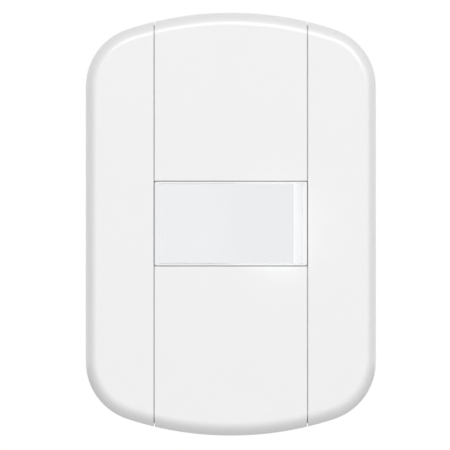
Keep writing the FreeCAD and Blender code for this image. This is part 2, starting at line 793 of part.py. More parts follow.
def rivet(name, across, top, radius, height, dome):
    """A contact rivet's head along Y: from its seat at a height, standing out or down by its own."""
    barrel = doc.addObject("Part::Cylinder", name + "_barrel")
    barrel.setExpression("Radius", tie(radius))
    barrel.setExpression("Height", tie(height))
    barrel.Placement.Rotation = FreeCAD.Rotation(FreeCAD.Vector(1, 0, 0), -90)
    barrel.setExpression("Placement.Base.x", tie(across))
    barrel.setExpression("Placement.Base.y", tie(f"-({top})"))
    if dome is None:
        return barrel
    ball = doc.addObject("Part::Sphere", name + "_ball")
    ball.setExpression("Radius", tie(dome))
    ball.setExpression("Placement.Base.x", tie(across))
    ball.setExpression("Placement.Base.y", tie(f"-({top}) + {height} - {dome}"))
    head = doc.addObject("Part::Common", name)
    head.Base = barrel
    head.Tool = ball
    return head


def group(name, items):
    """Several like solids that share one node."""
    together = doc.addObject("Part::Compound", name)
    together.Label = name
    together.Links = items
    return together


def make_moving_rivets():
    """Two silver rivets under the ends of the see-saw, domed towards the fixed contacts."""
    heads = []
    for side, sign in ENDS.items():
        across = f"{sign}moving_rivet_across"
        sizes = ("rivet_radius", "rivet_height", "rivet_dome_radius")
        heads.append(rivet(f"{side}_moving_rivet", across, "0", *sizes))
    return group("moving_contact_rivets", heads)


def make_fixed_rivets():
    """Two flat silver rivets on the fixed strips, where the see-saw's ends come down."""
    heads = []
    for side, sign in ENDS.items():
        across = f"{sign}closed_across"
        sizes = ("fixed_rivet_radius", "fixed_rivet_height", None)
        heads.append(rivet(f"{side}_fixed_rivet", across, "fixed_rivet_top", *sizes))
    return group("fixed_contact_rivets", heads)


def add_bar(body, across):
    """The leg of a strip that hangs down into a clamp chamber, for the wire to be pressed on."""
    left = f"{across} - bar_half_width"
    right = f"{across} + bar_half_width"
    bar = rectangle(left, right, "bar_level", "bar_level + strip_thick")
    add(body, FRONT, "chamber_floor + bar_end_gap", "floor_level", bar)


def make_fixed_contact(side, sign):
    """A brass strip on the base's floor that carries a fixed rivet, and its leg in the clamp."""
    body = new_body(f"{side}_fixed_contact")
    inner = "(closed_across - fixed_rivet_radius - rivet_margin)"
    outer = "(terminal_pitch + bar_half_width)"
    ends = (inner, outer) if sign == "" else (f"-{outer}", f"-{inner}")
    flat = rectangle(*ends, "-contact_half_width", "contact_half_width")
    add(body, FRONT, "floor_level", "strip_top", flat)
    add_bar(body, f"{sign}terminal_pitch")
    return body


def make_common_bracket():
    """The common terminal: a knife edge under the see-saw, four prongs that keep its lugs in
    place, and a leg in the middle clamp."""
    body = new_body("common_bracket")
    add(body, FRONT, "floor_level", "strip_top", centred("2 * bar_half_width", "2 * lug_half_span"))
    knife = loop(
        [
            ("-knife_half_width", "-strip_top"),
            ("0", "-(contact_axis - knife_gap)"),
            ("knife_half_width", "-strip_top"),
        ]
    )
    add(body, PLAN, "-contact_half_width", "contact_half_width", knife)
    prong_start = "lug_half_width + prong_gap"
    prong_top = "contact_axis + prong_height"
    for left, right in both_sides(prong_start, f"{prong_start} + prong_width"):
        for low, high in both_sides("contact_half_width + prong_gap", "lug_half_span"):
            add(body, FRONT, "strip_top", prong_top, rectangle(left, right, low, high))
    add_bar(body, "0")
    return body


def make_module_base():
    """The moulding that closes the module behind. It carries the contact strips and has a chamber
    for each wire clamp, with a wire hole behind and a passage for the screw below."""
    body = new_body("module_base")
    add(body, FRONT, "back_level", "floor_level", centred("box_width", "box_tall"))
    for across in ("-terminal_pitch", "0", "terminal_pitch"):
        left = f"{across} - chamber_half_width"
        right = f"{across} + chamber_half_width"
        chamber = rectangle(left, right, "chamber_low", "chamber_high")
        cut(body, FRONT, "chamber_floor", "floor_level", chamber)
        cut(body, FRONT, "back_level", "chamber_floor", circle(across, "wire_up", "wire_hole_radius"))
        passage = circle(across, "-cage_middle", "clamp_head_radius + clamp_head_gap")
        cut(body, PLAN, "-box_inner_half_tall", "chamber_low", passage)
        neck = circle(across, "-cage_middle", "clamp_neck_radius")
        cut(body, PLAN, "-box_tall / 2", "-box_inner_half_tall", neck)
    for across in ("-terminal_pitch / 2", "terminal_pitch / 2"):
        left = f"{across} - relief_width / 2"
        right = f"{across} + relief_width / 2"
        relief = rectangle(left, right, "-box_inner_half_tall", "box_inner_half_tall")
        cut(body, FRONT, "back_level", "back_level + relief_depth", relief)
    # Four tongues reach into the module body, and their catches click into its windows.
    catch_low = "tongue_middle - tongue_catch_depth / 2"
    catch_high = "tongue_middle + tongue_catch_depth / 2"
    for left, right in both_sides("tongue_across - tongue_half_width", "tongue_across + tongue_half_width"):
        for low, high in both_sides("tongue_outer - tongue_thick", "tongue_outer"):
            tongue = rectangle(left, right, low, high)
            add(body, FRONT, "floor_level", "floor_level + tongue_length", tongue)
        for low, high in both_sides("tongue_outer", "tongue_outer + tongue_catch"):
            add(body, FRONT, catch_low, catch_high, rectangle(left, right, low, high))
    return body


def make_clamp_cage(side, across):
    """A brass cage that the clamp screw draws down, so that the wire is pressed on the bar."""
    body = new_body(f"{side}_clamp_cage")
    left = f"{across} - cage_half_width"
    right = f"{across} + cage_half_width"
    ring = rectangle(left, right, "-cage_tall / 2", "cage_tall / 2")
    inner_half = "(cage_half_width - cage_wall)"
    inner_tall = "(cage_tall / 2 - cage_end_wall)"
    hole = rectangle(f"{across} - {inner_half}", f"{across} + {inner_half}", f"-{inner_tall}", inner_tall)
    add(body, FRONT, "cage_middle - cage_length / 2", "cage_middle + cage_length / 2", ring, hole)
    thread = circle(across, "-cage_middle", "clamp_screw_radius + clamp_thread_gap")
    cut(body, PLAN, "-cage_tall / 2", f"-{inner_tall}", thread)
    return body


def cut_cross(body, head_radius):
    """The cross recess in a screw head whose outer face is at the start of its axis."""
    span = f"2 * {head_radius} * recess_share"
    for width, tall in ((span, "recess_width"), ("recess_width", span)):
        cut(body, FRONT, "-recess_depth", "0", centred(width, tall))


def make_clamp_screw(side, across):
    """A short steel screw, made along Y from its head and stood along Z, head below."""
    body = new_body(f"{side}_clamp_screw")
    reach = "(bar_level - clamp_thread_gap - head_low)"
    turn(
        body,
        [
            ("0", "0"),
            ("clamp_head_radius", "0"),
            ("clamp_head_radius", "clamp_head_height"),
            ("clamp_screw_radius", "clamp_head_height"),
            ("clamp_screw_radius", reach),
            ("0", reach),
        ],
    )
    cut_cross(body, "clamp_head_radius")
    body.Placement.Rotation = FreeCAD.Rotation(FreeCAD.Vector(1, 0, 0), 90)
    body.setExpression("Placement.Base.x", tie(across))
    body.setExpression("Placement.Base.y", tie("-cage_middle"))
    body.setExpression("Placement.Base.z", tie("head_low"))
    return body


def make_box_screw(name, up):
    """A pan-head screw through a slot of the frame into the wall box, with a plain neck."""
    body = new_body(name)
    head = "box_screw_head_height"
    neck = "(box_screw_head_height + frame_thick)"
    reach = "(box_screw_head_height + frame_thick + box_screw_reach)"
    turn(
        body,
        [
            ("0", "0", "box_screw_dome_radius"),
            ("box_screw_head_radius", "box_screw_dome_drop"),
            ("box_screw_head_radius", head),
            ("box_screw_neck_radius", head),
            ("box_screw_neck_radius", neck),
            ("box_screw_radius", neck),
            ("box_screw_radius", f"{reach} - box_screw_point"),
            ("box_screw_radius - box_screw_point", reach),
            ("0", reach),
        ],
    )
    cut_cross(body, "box_screw_head_radius")
    body.setExpression("Placement.Base.y", tie(f"-frame_thick - {head}"))
    body.setExpression("Placement.Base.z", tie(up))
    return body


rocker = make_rocker()
plunger = make_plunger()
plunger_spring = make_plunger_spring()
for piece in (rocker, plunger, plunger_spring):
    seat(piece, "pivot_level", "-rocker_tilt")
rocking_contact = make_rocking_contact()
moving_rivets = make_moving_rivets()
for piece in (rocking_contact, moving_rivets):
    seat(piece, "contact_axis", "contact_tilt")

box_screws = [make_box_screw("upper_screw", "box_screw_up"), make_box_screw("lower_screw", "-box_screw_up")]

PIECES = [
    make_cover_plate(),
    make_mounting_frame(),
    group("box_screws", box_screws),
    make_module_body(),
    make_module_base(),
    rocker,
    plunger,
    plunger_spring,
    rocking_contact,
    moving_rivets,
    make_common_bracket(),
    *[make_fixed_contact(side, sign) for side, sign in ENDS.items()],
    make_fixed_rivets(),
]
for side, across in (("left", "-terminal_pitch"), ("common", "0"), ("right", "terminal_pitch")):
    PIECES.append(make_clamp_cage(side, across))
    PIECES.append(make_clamp_screw(side, across))

doc.recompute()
for item in doc.Objects:
    if "Invalid" in item.State or "Error" in item.State:
        raise RuntimeError(f"{item.Name} failed: {item.State}")
for piece in PIECES:
    if piece.Shape.isNull() or not piece.Shape.isValid():
        raise RuntimeError(f"{piece.Label} has no valid shape")
for piece in PIECES:
    piece.Shape.exportStep(f"parts/{piece.Label}.step")
    box = piece.Shape.optimalBoundingBox()
    print(piece.Label, len(piece.Shape.Solids), round(piece.Shape.Volume, 1), box)
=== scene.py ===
import json
import math

import bmesh
import bpy
from mathutils import Matrix, Vector


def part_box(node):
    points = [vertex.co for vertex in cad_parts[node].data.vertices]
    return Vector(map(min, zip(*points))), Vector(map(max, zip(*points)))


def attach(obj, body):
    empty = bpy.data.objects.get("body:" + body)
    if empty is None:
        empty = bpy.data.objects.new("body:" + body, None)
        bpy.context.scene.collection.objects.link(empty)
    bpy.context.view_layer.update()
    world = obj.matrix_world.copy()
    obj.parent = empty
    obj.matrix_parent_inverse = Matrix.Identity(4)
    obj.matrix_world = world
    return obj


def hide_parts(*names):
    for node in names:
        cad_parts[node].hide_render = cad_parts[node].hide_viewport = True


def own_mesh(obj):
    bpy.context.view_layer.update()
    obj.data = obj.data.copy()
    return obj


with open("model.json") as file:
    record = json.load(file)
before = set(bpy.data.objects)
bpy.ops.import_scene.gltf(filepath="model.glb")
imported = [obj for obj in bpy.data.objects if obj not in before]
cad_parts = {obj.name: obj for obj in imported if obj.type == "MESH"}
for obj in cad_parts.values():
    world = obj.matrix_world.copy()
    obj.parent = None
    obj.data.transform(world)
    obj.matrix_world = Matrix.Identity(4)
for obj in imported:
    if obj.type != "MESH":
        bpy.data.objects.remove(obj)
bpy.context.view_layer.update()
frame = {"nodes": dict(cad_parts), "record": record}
scene = bpy.context.scene
scene.view_settings.view_transform = "Standard"
mm = 0.001


# Cover plate: one moulding in white plastic, rounded all round, with two thin grooves that run on
# from the sides of the module's window. Four snap posts behind it click into the mounting frame.
def new_piece(name, mesh, material):
    """A piece in the scene, made of a mesh that is already in its place."""
    mesh.materials.clear()
    mesh.materials.append(material)
    piece = bpy.data.objects.new(name, mesh)
    scene.collection.objects.link(piece)
    return piece


def settle(piece):
    """Turns what a piece's modifiers show into its own plain mesh, and takes the modifiers off."""
    shown = piece.evaluated_get(bpy.context.evaluated_depsgraph_get())
    mesh = bpy.data.meshes.new_from_object(shown)
    piece.modifiers.clear()
    piece.data = mesh


def combine(piece, tool, operation):
    """Adds a closed piece to another one, or cuts it away, and removes the tool."""
    change = piece.modifiers.new(operation.lower(), "BOOLEAN")
    change.operation = operation
    change.solver = "EXACT"
    change.object = tool
    settle(piece)
    bpy.data.objects.remove(tool)


def smooth(piece, crease_degrees):
    """Soft shading that breaks at real edges and stays level on flat faces."""
    piece.data.shade_smooth()
    piece.data.set_sharp_from_angle(angle=math.radians(crease_degrees))
    level = piece.modifiers.new("level_faces", "WEIGHTED_NORMAL")
    level.keep_sharp = True
    settle(piece)


def closed_mesh(name, rings):
    """A closed skin over rings of points in millimetres, as (across, height out of the wall, up)."""
    count = len(rings[0])
    points = [(x * mm, -height * mm, z * mm) for ring in rings for x, height, z in ring]
    faces = []
    for row in range(len(rings) - 1):
        for here in range(count):
            after = (here + 1) % count
            near, far = row * count, (row + 1) * count
            faces.append((near + here, near + after, far + after, far + here))
    faces.append(tuple(range(count)))
    faces.append(tuple(range(len(points) - count, len(points))))
    mesh = bpy.data.meshes.new(name)
    mesh.from_pydata(points, [], faces)
    shape = bmesh.new()
    shape.from_mesh(mesh)
    bmesh.ops.remove_doubles(shape, verts=shape.verts, dist=0.001 * mm)
    bmesh.ops.recalc_face_normals(shape, faces=shape.faces)
    shape.to_mesh(mesh)
    shape.free()
    return mesh


def dress(piece, node):
    """Puts a finished piece on its node's body, in the node's place."""
    bodies = frame["record"]["behaviour"]["bodies"]
    body = next(name for name, members in bodies.items() if node in members)
    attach(piece, body)
    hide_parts(node)


def moulded_plastic(name, color, roughness, coat, skin_size, skin_depth, wear):
    """Moulded plastic, from Object coordinates: a cloudy tint, rubbed gloss and a fine skin."""
    cloud_size, rub_size = 35 * mm, 6 * mm
    darker, paler = 0.995, 1.004
    material = bpy.data.materials.new(name)
    material.use_nodes = True
    tree = material.node_tree
    shader = tree.nodes["Principled BSDF"]
    shader.inputs["IOR"].default_value = 1.5
    shader.inputs["Coat Weight"].default_value = coat
    shader.inputs["Coat Roughness"].default_value = 0.1
    place = tree.nodes.new("ShaderNodeTexCoord")

    cloud = tree.nodes.new("ShaderNodeTexNoise")
    cloud.inputs["Scale"].default_value = 1 / cloud_size
    cloud.inputs["Detail"].default_value = 3
    tint = tree.nodes.new("ShaderNodeMix")
    tint.data_type = "RGBA"
    tint.inputs["A"].default_value = (*[channel * darker for channel in color], 1)
    tint.inputs["B"].default_value = (*[min(channel * paler, 1) for channel in color], 1)
    tree.links.new(place.outputs["Object"], cloud.inputs["Vector"])
    tree.links.new(cloud.outputs["Fac"], tint.inputs["Factor"])
    tree.links.new(tint.outputs["Result"], shader.inputs["Base Color"])

    rub = tree.nodes.new("ShaderNodeTexNoise")
    rub.inputs["Scale"].default_value = 1 / rub_size
    rub.inputs["Detail"].default_value = 3
    gloss = tree.nodes.new("ShaderNodeMapRange")
    gloss.inputs["From Min"].default_value = 0.35
    gloss.inputs["From Max"].default_value = 0.75
    gloss.inputs["To Min"].default_value = roughness
    gloss.inputs["To Max"].default_value = roughness + wear
    tree.links.new(place.outputs["Object"], rub.inputs["Vector"])
    tree.links.new(rub.outputs["Fac"], gloss.inputs["Value"])
    tree.links.new(gloss.outputs["Result"], shader.inputs["Roughness"])

    skin = tree.nodes.new("ShaderNodeTexNoise")
    skin.inputs["Scale"].default_value = 1 / skin_size
    skin.inputs["Detail"].default_value = 2
    relief = tree.nodes.new("ShaderNodeBump")
    relief.inputs["Strength"].default_value = 0.35
    relief.inputs["Distance"].default_value = skin_depth
    tree.links.new(place.outputs["Object"], skin.inputs["Vector"])
    tree.links.new(skin.outputs["Fac"], relief.inputs["Height"])
    tree.links.new(relief.outputs["Normal"], shader.inputs["Normal"])
    return material


plate_white = moulded_plastic(
    "white_gloss_plastic",
    color=(0.88, 0.88, 0.88),
    roughness=0.32,
    coat=0.2,
    skin_size=0.9 * mm,
    skin_depth=0.001 * mm,
    wear=0.05,
)

plate_low, plate_high = (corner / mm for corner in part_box("cover_plate"))
half_width, half_tall, plate_height = plate_high.x, plate_high.z, -plate_low.y
wall, hollow_edge = 2.0, 3.5
inner_height = plate_height - wall
crown_radius, corner_radius = 93.5, 17.1
rim_side, rim_crown = 3.3, 3.8
corner_across = half_width - corner_radius
crown_centre = half_tall - crown_radius
crown_steps, corner_steps, rim_steps, hollow_steps = 12, 18, 26, 8


def plate_ring(side_inset, crown_inset, height):
    """The plate's outline moved inward: crown arcs, four corner arcs and two straight sides."""
    crown = crown_radius - crown_inset
    corner = corner_radius - side_inset
    rise = math.sqrt((crown - corner) ** 2 - corner_across**2)
    meeting = math.atan2(rise, corner_across)
    quarter = []
    for step in range(crown_steps + 1):
        angle = math.pi / 2 - (math.pi / 2 - meeting) * step / crown_steps
        quarter.append((crown * math.cos(angle), crown_centre + crown * math.sin(angle)))
    for step in range(1, corner_steps + 1):
        angle = meeting * (1 - step / corner_steps)
        level = crown_centre + rise + corner * math.sin(angle)
        quarter.append((corner_across + corner * math.cos(angle), level))
    right = quarter + [(x, -z) for x, z in reversed(quarter)]
    outline = right + [(-x, z) for x, z in reversed(right[1:-1])]
    return [(x, height, z) for x, z in outline]


def rim_lean(facing):
    """Where the rim's quarter ellipse faces a given way: its share inward and its height."""
    angle = math.atan2(plate_height * math.sin(facing), rim_side * math.cos(facing))
    return 1 - math.cos(angle), plate_height * math.sin(angle)


rings = []
for step in range(hollow_steps + 1):
    angle = math.radians(90 * step / hollow_steps)
    inset = wall + hollow_edge * (1 - math.sin(angle))
    rings.append(plate_ring(inset, inset, inner_height - hollow_edge * (1 - math.cos(angle))))
rings.append(plate_ring(wall, wall, 0))
for step in range(rim_steps + 1):
    share, height = rim_lean(math.radians(90 * step / rim_steps))
    rings.append(plate_ring(rim_side * share, rim_crown * share, height))
plate = new_piece("cover_plate_moulding", closed_mesh("cover_plate", rings), plate_white)

# Each groove keeps one depth below the face and the rim. Its edges are a little rounded.
groove_at = 21.615
groove_side = [(0.24, -0.03), (0.205, 0.006), (0.17, 0.035), (0.152, 0.09), (0.13, 0.9), (0.08, 1.0)]
groove_section = [(-across, depth) for across, depth in groove_side]
groove_section += reversed(groove_side)
beyond = 6.0
for side in (-1, 1):
    rings = []
    for across, depth in groove_section:
        place = side * groove_at + across
        upper = []
        for step in range(rim_steps + 1):
            facing = math.radians(90 * step / rim_steps)
            share, height = rim_lean(facing)
            up = crown_centre + math.sqrt((crown_radius - rim_crown * share) ** 2 - place**2)
            upper.append((height - depth * math.sin(facing), up - depth * math.cos(facing)))
        upper.insert(0, (-beyond, upper[0][1]))
        lower = [(height, -up) for height, up in reversed(upper)]
        outside = half_tall + beyond
        around = [(-beyond, -outside), (plate_height + beyond, -outside)]
        around += [(height, -up) for height, up in reversed(around)]
        rings.append([(place, height, up) for height, up in upper + lower + around])
    combine(plate, new_piece("groove_cutter", closed_mesh("groove", rings), plate_white), "DIFFERENCE")

# The window is cut with lightly rounded edges, and stays tight to the module.
window_half_width, window_half_tall, window_edge, window_corner = 21.655, 12.06, 0.16, 0.2
levels = [(inner_height - beyond, 0)]
for turn in range(0, 81, 20):
    bend = math.radians(turn)
    flare = window_edge * (1 - math.cos(bend))
    levels.append((plate_height - window_edge * (1 - math.sin(bend)), flare))
levels.append((plate_height + beyond, flare + beyond * 2))
rings = []
for height, flare in levels:
    ring = []
    reach = window_corner + flare
    for right, over, first in ((1, 1, 0), (-1, 1, 90), (-1, -1, 180), (1, -1, 270)):
        across = right * (window_half_width - window_corner)
        up = over * (window_half_tall - window_corner)
        for turn in range(first, first + 90, 15):
            angle = math.radians(turn)
            ring.append((across + reach * math.cos(angle), height, up + reach * math.sin(angle)))
    rings.append(ring)
combine(plate, new_piece("window_cutter", closed_mesh("window", rings), plate_white), "DIFFERENCE")

# A post's section, across and out of the wall: a straight leg with a hook and a lead-in slope.
post_inner, post_outer, post_end = 28.0, 29.6, 0.3
hook_reach, hook_low, hook_top, hook_nose = 0.7, 0.75, 1.15, 0.1
root_flare, root_depth = 0.4, 0.5
post_middle, post_half = 26.0, 2.5
post_section = [
    (post_inner, post_end),
    (post_outer - hook_nose, post_end),
    (post_outer + hook_reach, hook_low),
    (post_outer + hook_reach, hook_top),
    (post_outer, hook_top),
    (post_outer, inner_height - root_flare),
    (post_outer + root_flare, inner_height + root_depth),
    (post_inner - root_flare, inner_height + root_depth),
    (post_inner, inner_height - root_flare),
]
for side in (-1, 1):
    for level in (-post_middle, post_middle):
        rings = []
        for end in (level - post_half, level + post_half):
            rings.append([(side * across, height, end) for across, height in post_section])
        combine(plate, new_piece("post", closed_mesh("post", rings), plate_white), "UNION")
smooth(plate, 32)
dress(plate, "cover_plate")


# Module body: the white front of the switch module, with narrow lips around the rocker and the
# box behind, which is latched under the frame's rails. One moulding, with lightly broken edges.
def softened(node, name, width, material, even=False):
    """A copy of a solid as one clean skin, with its sharp edges broken by a given width.

    An even piece is alike on its left and right, and takes both sides from the right one.
    """
    mesh = frame["nodes"][node].data.copy()
    mesh.name = name
    shape = bmesh.new()
    shape.from_mesh(mesh)
    bmesh.ops.remove_doubles(shape, verts=shape.verts, dist=0.002 * mm)
    if even:
        everything = [*shape.verts, *shape.edges, *shape.faces]
        bmesh.ops.symmetrize(shape, input=everything, direction="X", dist=0.001 * mm)
    flat = math.radians(1.0)
    bmesh.ops.dissolve_limit(shape, angle_limit=flat, verts=shape.verts, edges=shape.edges)
    shape.to_mesh(mesh)
    shape.free()
    piece = new_piece(name, mesh, material)
    breaks = piece.modifiers.new("broken_edges", "BEVEL")
    breaks.limit_method = "ANGLE"
    breaks.angle_limit = math.radians(38)
    breaks.width = width * mm
    breaks.segments = 2
    breaks.use_clamp_overlap = False
    settle(piece)
    smooth(piece, 40)
    return piece


module_white = moulded_plastic(
    "module_white_plastic",
    color=(0.862, 0.867, 0.878),
    roughness=0.25,
    coat=0.5,
    skin_size=0.7 * mm,
    skin_depth=0.0006 * mm,
    wear=0.01,
)
body = softened("module_body", "module_body_moulding", 0.04, module_white, even=True)
dress(body, "module_body")


# Rocker: the key itself, a shallow V of two wings over a hollow skirt, moulded in the same white.
# Its pins click into the module's ears, and the tube behind its middle guides the plunger.
pivot_height, rocker_tilt, wing_angle = 1.6, math.radians(7.1), math.radians(7.1)
end_radius, edge_height, valley_radius = 21.45, 9.62, 38.0
key_half_tall, key_edge, ridge_edge = 11.23, 0.22, 0.4
key_wall, key_inner_half_tall, skirt_height, past_the_end = 1.4, 9.7, 4.3, 1.0
arc_steps, ridge_steps = 16, 8
edge_across = math.sqrt(end_radius**2 - edge_height**2)
valley_height = edge_height - edge_across * math.tan(wing_angle)
valley_side = valley_height + valley_radius * math.sin(wing_angle) * math.tan(wing_angle)
valley_centre = valley_side + valley_radius * math.cos(wing_angle)


def at_rest(across, height, up):
    """From the key's own coordinates about its pins to its place at rest, turned to the left."""
    turned = across * math.cos(rocker_tilt) - height * math.sin(rocker_tilt)
    raised = across * math.sin(rocker_tilt) + height * math.cos(rocker_tilt)
    return turned, pivot_height + raised, up


def key_ring(inset, up, low=skirt_height):
    """The key's outline moved inward: two end arcs, rounded ridges, wings and the valley."""
    radius = end_radius - inset
    ridge = max(ridge_edge - inset, 0.0)
    lowered = valley_height - (inset + ridge) / math.cos(wing_angle)
    slope = math.tan(wing_angle)
    reach = radius - ridge
    across = (math.sqrt(reach**2 * (1 + slope**2) - lowered**2) - lowered * slope) / (1 + slope**2)
    raised = lowered + across * slope
    start, finish, level = math.asin(low / radius), math.atan2(raised, across), math.pi / 2 + wing_angle
    right = []
    for step in range(arc_steps + 1):
        angle = start + (finish - start) * step / arc_steps
        right.append((radius * math.cos(angle), radius * math.sin(angle)))
    for step in range(1, ridge_steps + 1):
        angle = finish + (level - finish) * step / ridge_steps
        right.append((across + ridge * math.cos(angle), raised + ridge * math.sin(angle)))
    for step in range(arc_steps + 1):
        angle = wing_angle * (1 - step / arc_steps)
        arc = valley_radius + inset
        right.append((arc * math.sin(angle), valley_centre - arc * math.cos(angle)))
    left = [(-across, height) for across, height in reversed(right[:-1])]
    return [at_rest(across, height, up) for across, height in right + left]


def bar(name, section, low, high):
    """A straight bar along Z, between two levels, from its section in the key's coordinates."""
    rings = [[at_rest(across, height, up) for across, height in section] for up in (low, high)]
    return new_piece(name, closed_mesh(name, rings), module_white)


def round_section(radius, steps=40):
    """The points of a circle about the origin."""
    turns = [2 * math.pi * step / steps for step in range(steps)]
    return [(radius * math.cos(turn), radius * math.sin(turn)) for turn in turns]


rings = []
for sign, turns in ((-1, range(90, -1, -15)), (1, range(0, 91, 15))):
    for turn in turns:
        bend = math.radians(turn)
        level = key_half_tall - key_edge * (1 - math.sin(bend))
        rings.append(key_ring(key_edge * (1 - math.cos(bend)), sign * level))
key = new_piece("rocker_key", closed_mesh("rocker", rings), module_white)
rings = []
for up in (-key_inner_half_tall, key_inner_half_tall):
    rings.append(key_ring(key_wall, up, skirt_height - past_the_end))
combine(key, new_piece("hollow", closed_mesh("hollow", rings), module_white), "DIFFERENCE")

# Inside the hollow, a web runs between two cheeks that carry the pins. All are moulded in one.
web_half, web_drop, web_end, root_height = 0.7, 1.2, 9.45, 6.4
cheek_outer, cheek_thick, cheek_radius, cheek_steps = 9.55, 1.5, 3.5, 20
pin_radius, pin_root, pin_end = 1.8, 8.85, 10.9
web = [
    (-web_half, -web_drop),
    (web_half, -web_drop),
    (web_half, root_height),
    (-web_half, root_height),
]
combine(key, bar("web", web, -web_end, web_end), "UNION")
turns = [math.pi * (1 + step / cheek_steps) for step in range(cheek_steps + 1)]
cheek = [(cheek_radius * math.cos(turn), cheek_radius * math.sin(turn)) for turn in turns]
cheek += [(cheek_radius, root_height), (-cheek_radius, root_height)]
for sign in (-1, 1):
    combine(key, bar("cheek", cheek, sign * (cheek_outer - cheek_thick), sign * cheek_outer), "UNION")
    combine(key, bar("pin", round_section(pin_radius), sign * pin_root, sign * pin_end), "UNION")

# The plunger's tube points into the wall, and its bore is blind.
tube_radius, tube_reach, bore_radius, bore_end = 2.9, 6.0, 1.92, 4.5
for radius, low, high, change in (
    (tube_radius, -tube_reach, root_height, "UNION"),
    (bore_radius, -tube_reach - past_the_end, bore_end, "DIFFERENCE"),
):
    rings = []
    for height in (low, high):
        rings.append([at_rest(across, height, up) for across, up in round_section(radius)])
    combine(key, new_piece("tube", closed_mesh("tube", rings), module_white), change)
smooth(key, 32)
dress(key, "rocker")


# Mounting frame: matt plastic, screwed to the wall box behind the plate. Its three bays take a
# module each, and its catches take the plate's posts.
frame_grey = moulded_plastic(
    "frame_plastic",
    color=(0.76, 0.76, 0.75),
    roughness=0.55,
    coat=0.0,
    skin_size=0.35 * mm,
    skin_depth=0.006 * mm,
    wear=0.08,
)
dress(softened("mounting_frame", "frame_moulding", 0.12, frame_grey), "mounting_frame")


# Module base: grey heat-resistant plastic that closes the module behind. It holds the contacts and
# the wire clamps, with a wire hole for each clamp and four tongues that click into the body.
base_grey = moulded_plastic(
    "base_plastic",
    color=(0.68, 0.69, 0.7),
    roughness=0.5,
    coat=0.0,
    skin_size=0.3 * mm,
    skin_depth=0.006 * mm,
    wear=0.1,
)
dress(softened("module_base", "base_moulding", 0.1, base_grey), "module_base")


# Plunger: a slippery plastic pin with a ball end. It slides in the rocker's tube and rides over
# the see-saw.
plunger_tan = moulded_plastic(
    "plunger_plastic",
    color=(0.55, 0.53, 0.48),
    roughness=0.32,
    coat=0.0,
    skin_size=0.5 * mm,
    skin_depth=0.001 * mm,
    wear=0.1,
)
dress(softened("plunger", "plunger_pin", 0.08, plunger_tan), "plunger")


# Plunger spring: six turns of drawn steel wire, from the end of the tube's bore to the plunger's
# top.
def worked_metal(name, color, roughness, grain_size, grain_depth, stretch, mottle):
    """Bare or plated metal, from Object coordinates: rolling or turning marks and dull patches."""
    patch_size, dulling = 2.5 * mm, 0.15
    material = bpy.data.materials.new(name)
    material.use_nodes = True
    tree = material.node_tree
    shader = tree.nodes["Principled BSDF"]
    shader.inputs["Metallic"].default_value = 1.0
    place = tree.nodes.new("ShaderNodeTexCoord")
    along = tree.nodes.new("ShaderNodeMapping")
    along.inputs["Scale"].default_value = stretch
    grain = tree.nodes.new("ShaderNodeTexNoise")
    grain.inputs["Scale"].default_value = 1 / grain_size
    grain.inputs["Detail"].default_value = 4
    relief = tree.nodes.new("ShaderNodeBump")
    relief.inputs["Strength"].default_value = 0.5
    relief.inputs["Distance"].default_value = grain_depth
    tree.links.new(place.outputs["Object"], along.inputs["Vector"])
    tree.links.new(along.outputs["Vector"], grain.inputs["Vector"])
    tree.links.new(grain.outputs["Fac"], relief.inputs["Height"])
    tree.links.new(relief.outputs["Normal"], shader.inputs["Normal"])

    patches = tree.nodes.new("ShaderNodeTexNoise")
    patches.inputs["Scale"].default_value = 1 / patch_size
    patches.inputs["Detail"].default_value = 5
    dull = tree.nodes.new("ShaderNodeMapRange")
    dull.inputs["From Min"].default_value = 0.35
    dull.inputs["From Max"].default_value = 0.7
    dull.inputs["To Min"].default_value = roughness
    dull.inputs["To Max"].default_value = roughness + dulling
    tone = tree.nodes.new("ShaderNodeMix")
    tone.data_type = "RGBA"
    tone.inputs["A"].default_value = (*color, 1)
    tone.inputs["B"].default_value = (*[channel * (1 - mottle) for channel in color], 1)
    tree.links.new(place.outputs["Object"], patches.inputs["Vector"])
    tree.links.new(patches.outputs["Fac"], dull.inputs["Value"])
    tree.links.new(dull.outputs["Result"], shader.inputs["Roughness"])
    tree.links.new(patches.outputs["Fac"], tone.inputs["Factor"])
    tree.links.new(tone.outputs["Result"], shader.inputs["Base Color"])
    return material


spring_steel = worked_metal(
    "spring_steel",
    color=(0.6, 0.6, 0.6),
    roughness=0.3,
    grain_size=0.1 * mm,
    grain_depth=0.002 * mm,
    stretch=(1, 1, 1),
    mottle=0.15,
)
spring_radius, wire_radius, spring_turns, spring_gap = 1.45, 0.2, 6, 0.04
plunger_top, plunger_travel = -1.5, 1.2
spring_start = bore_end - wire_radius - spring_gap
spring_stop = plunger_top + wire_radius + spring_gap
steps = 32 * spring_turns
rings = []
for step in range(steps + 1):
    turn = 2 * math.pi * spring_turns * step / steps
    level = spring_start + (spring_stop - spring_start) * step / steps
    ring = []
    for across, along in round_section(wire_radius, 14):
        reach = spring_radius + across
        ring.append(at_rest(reach * math.cos(turn), level + along, reach * math.sin(turn)))
    rings.append(ring)
coil = new_piece("plunger_coil", closed_mesh("plunger_coil", rings), spring_steel)
smooth(coil, 50)
dress(coil, "plunger_spring")
for height in (bore_end, plunger_top):
    across, out, up = at_rest(0, height, 0)
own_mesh(coil)


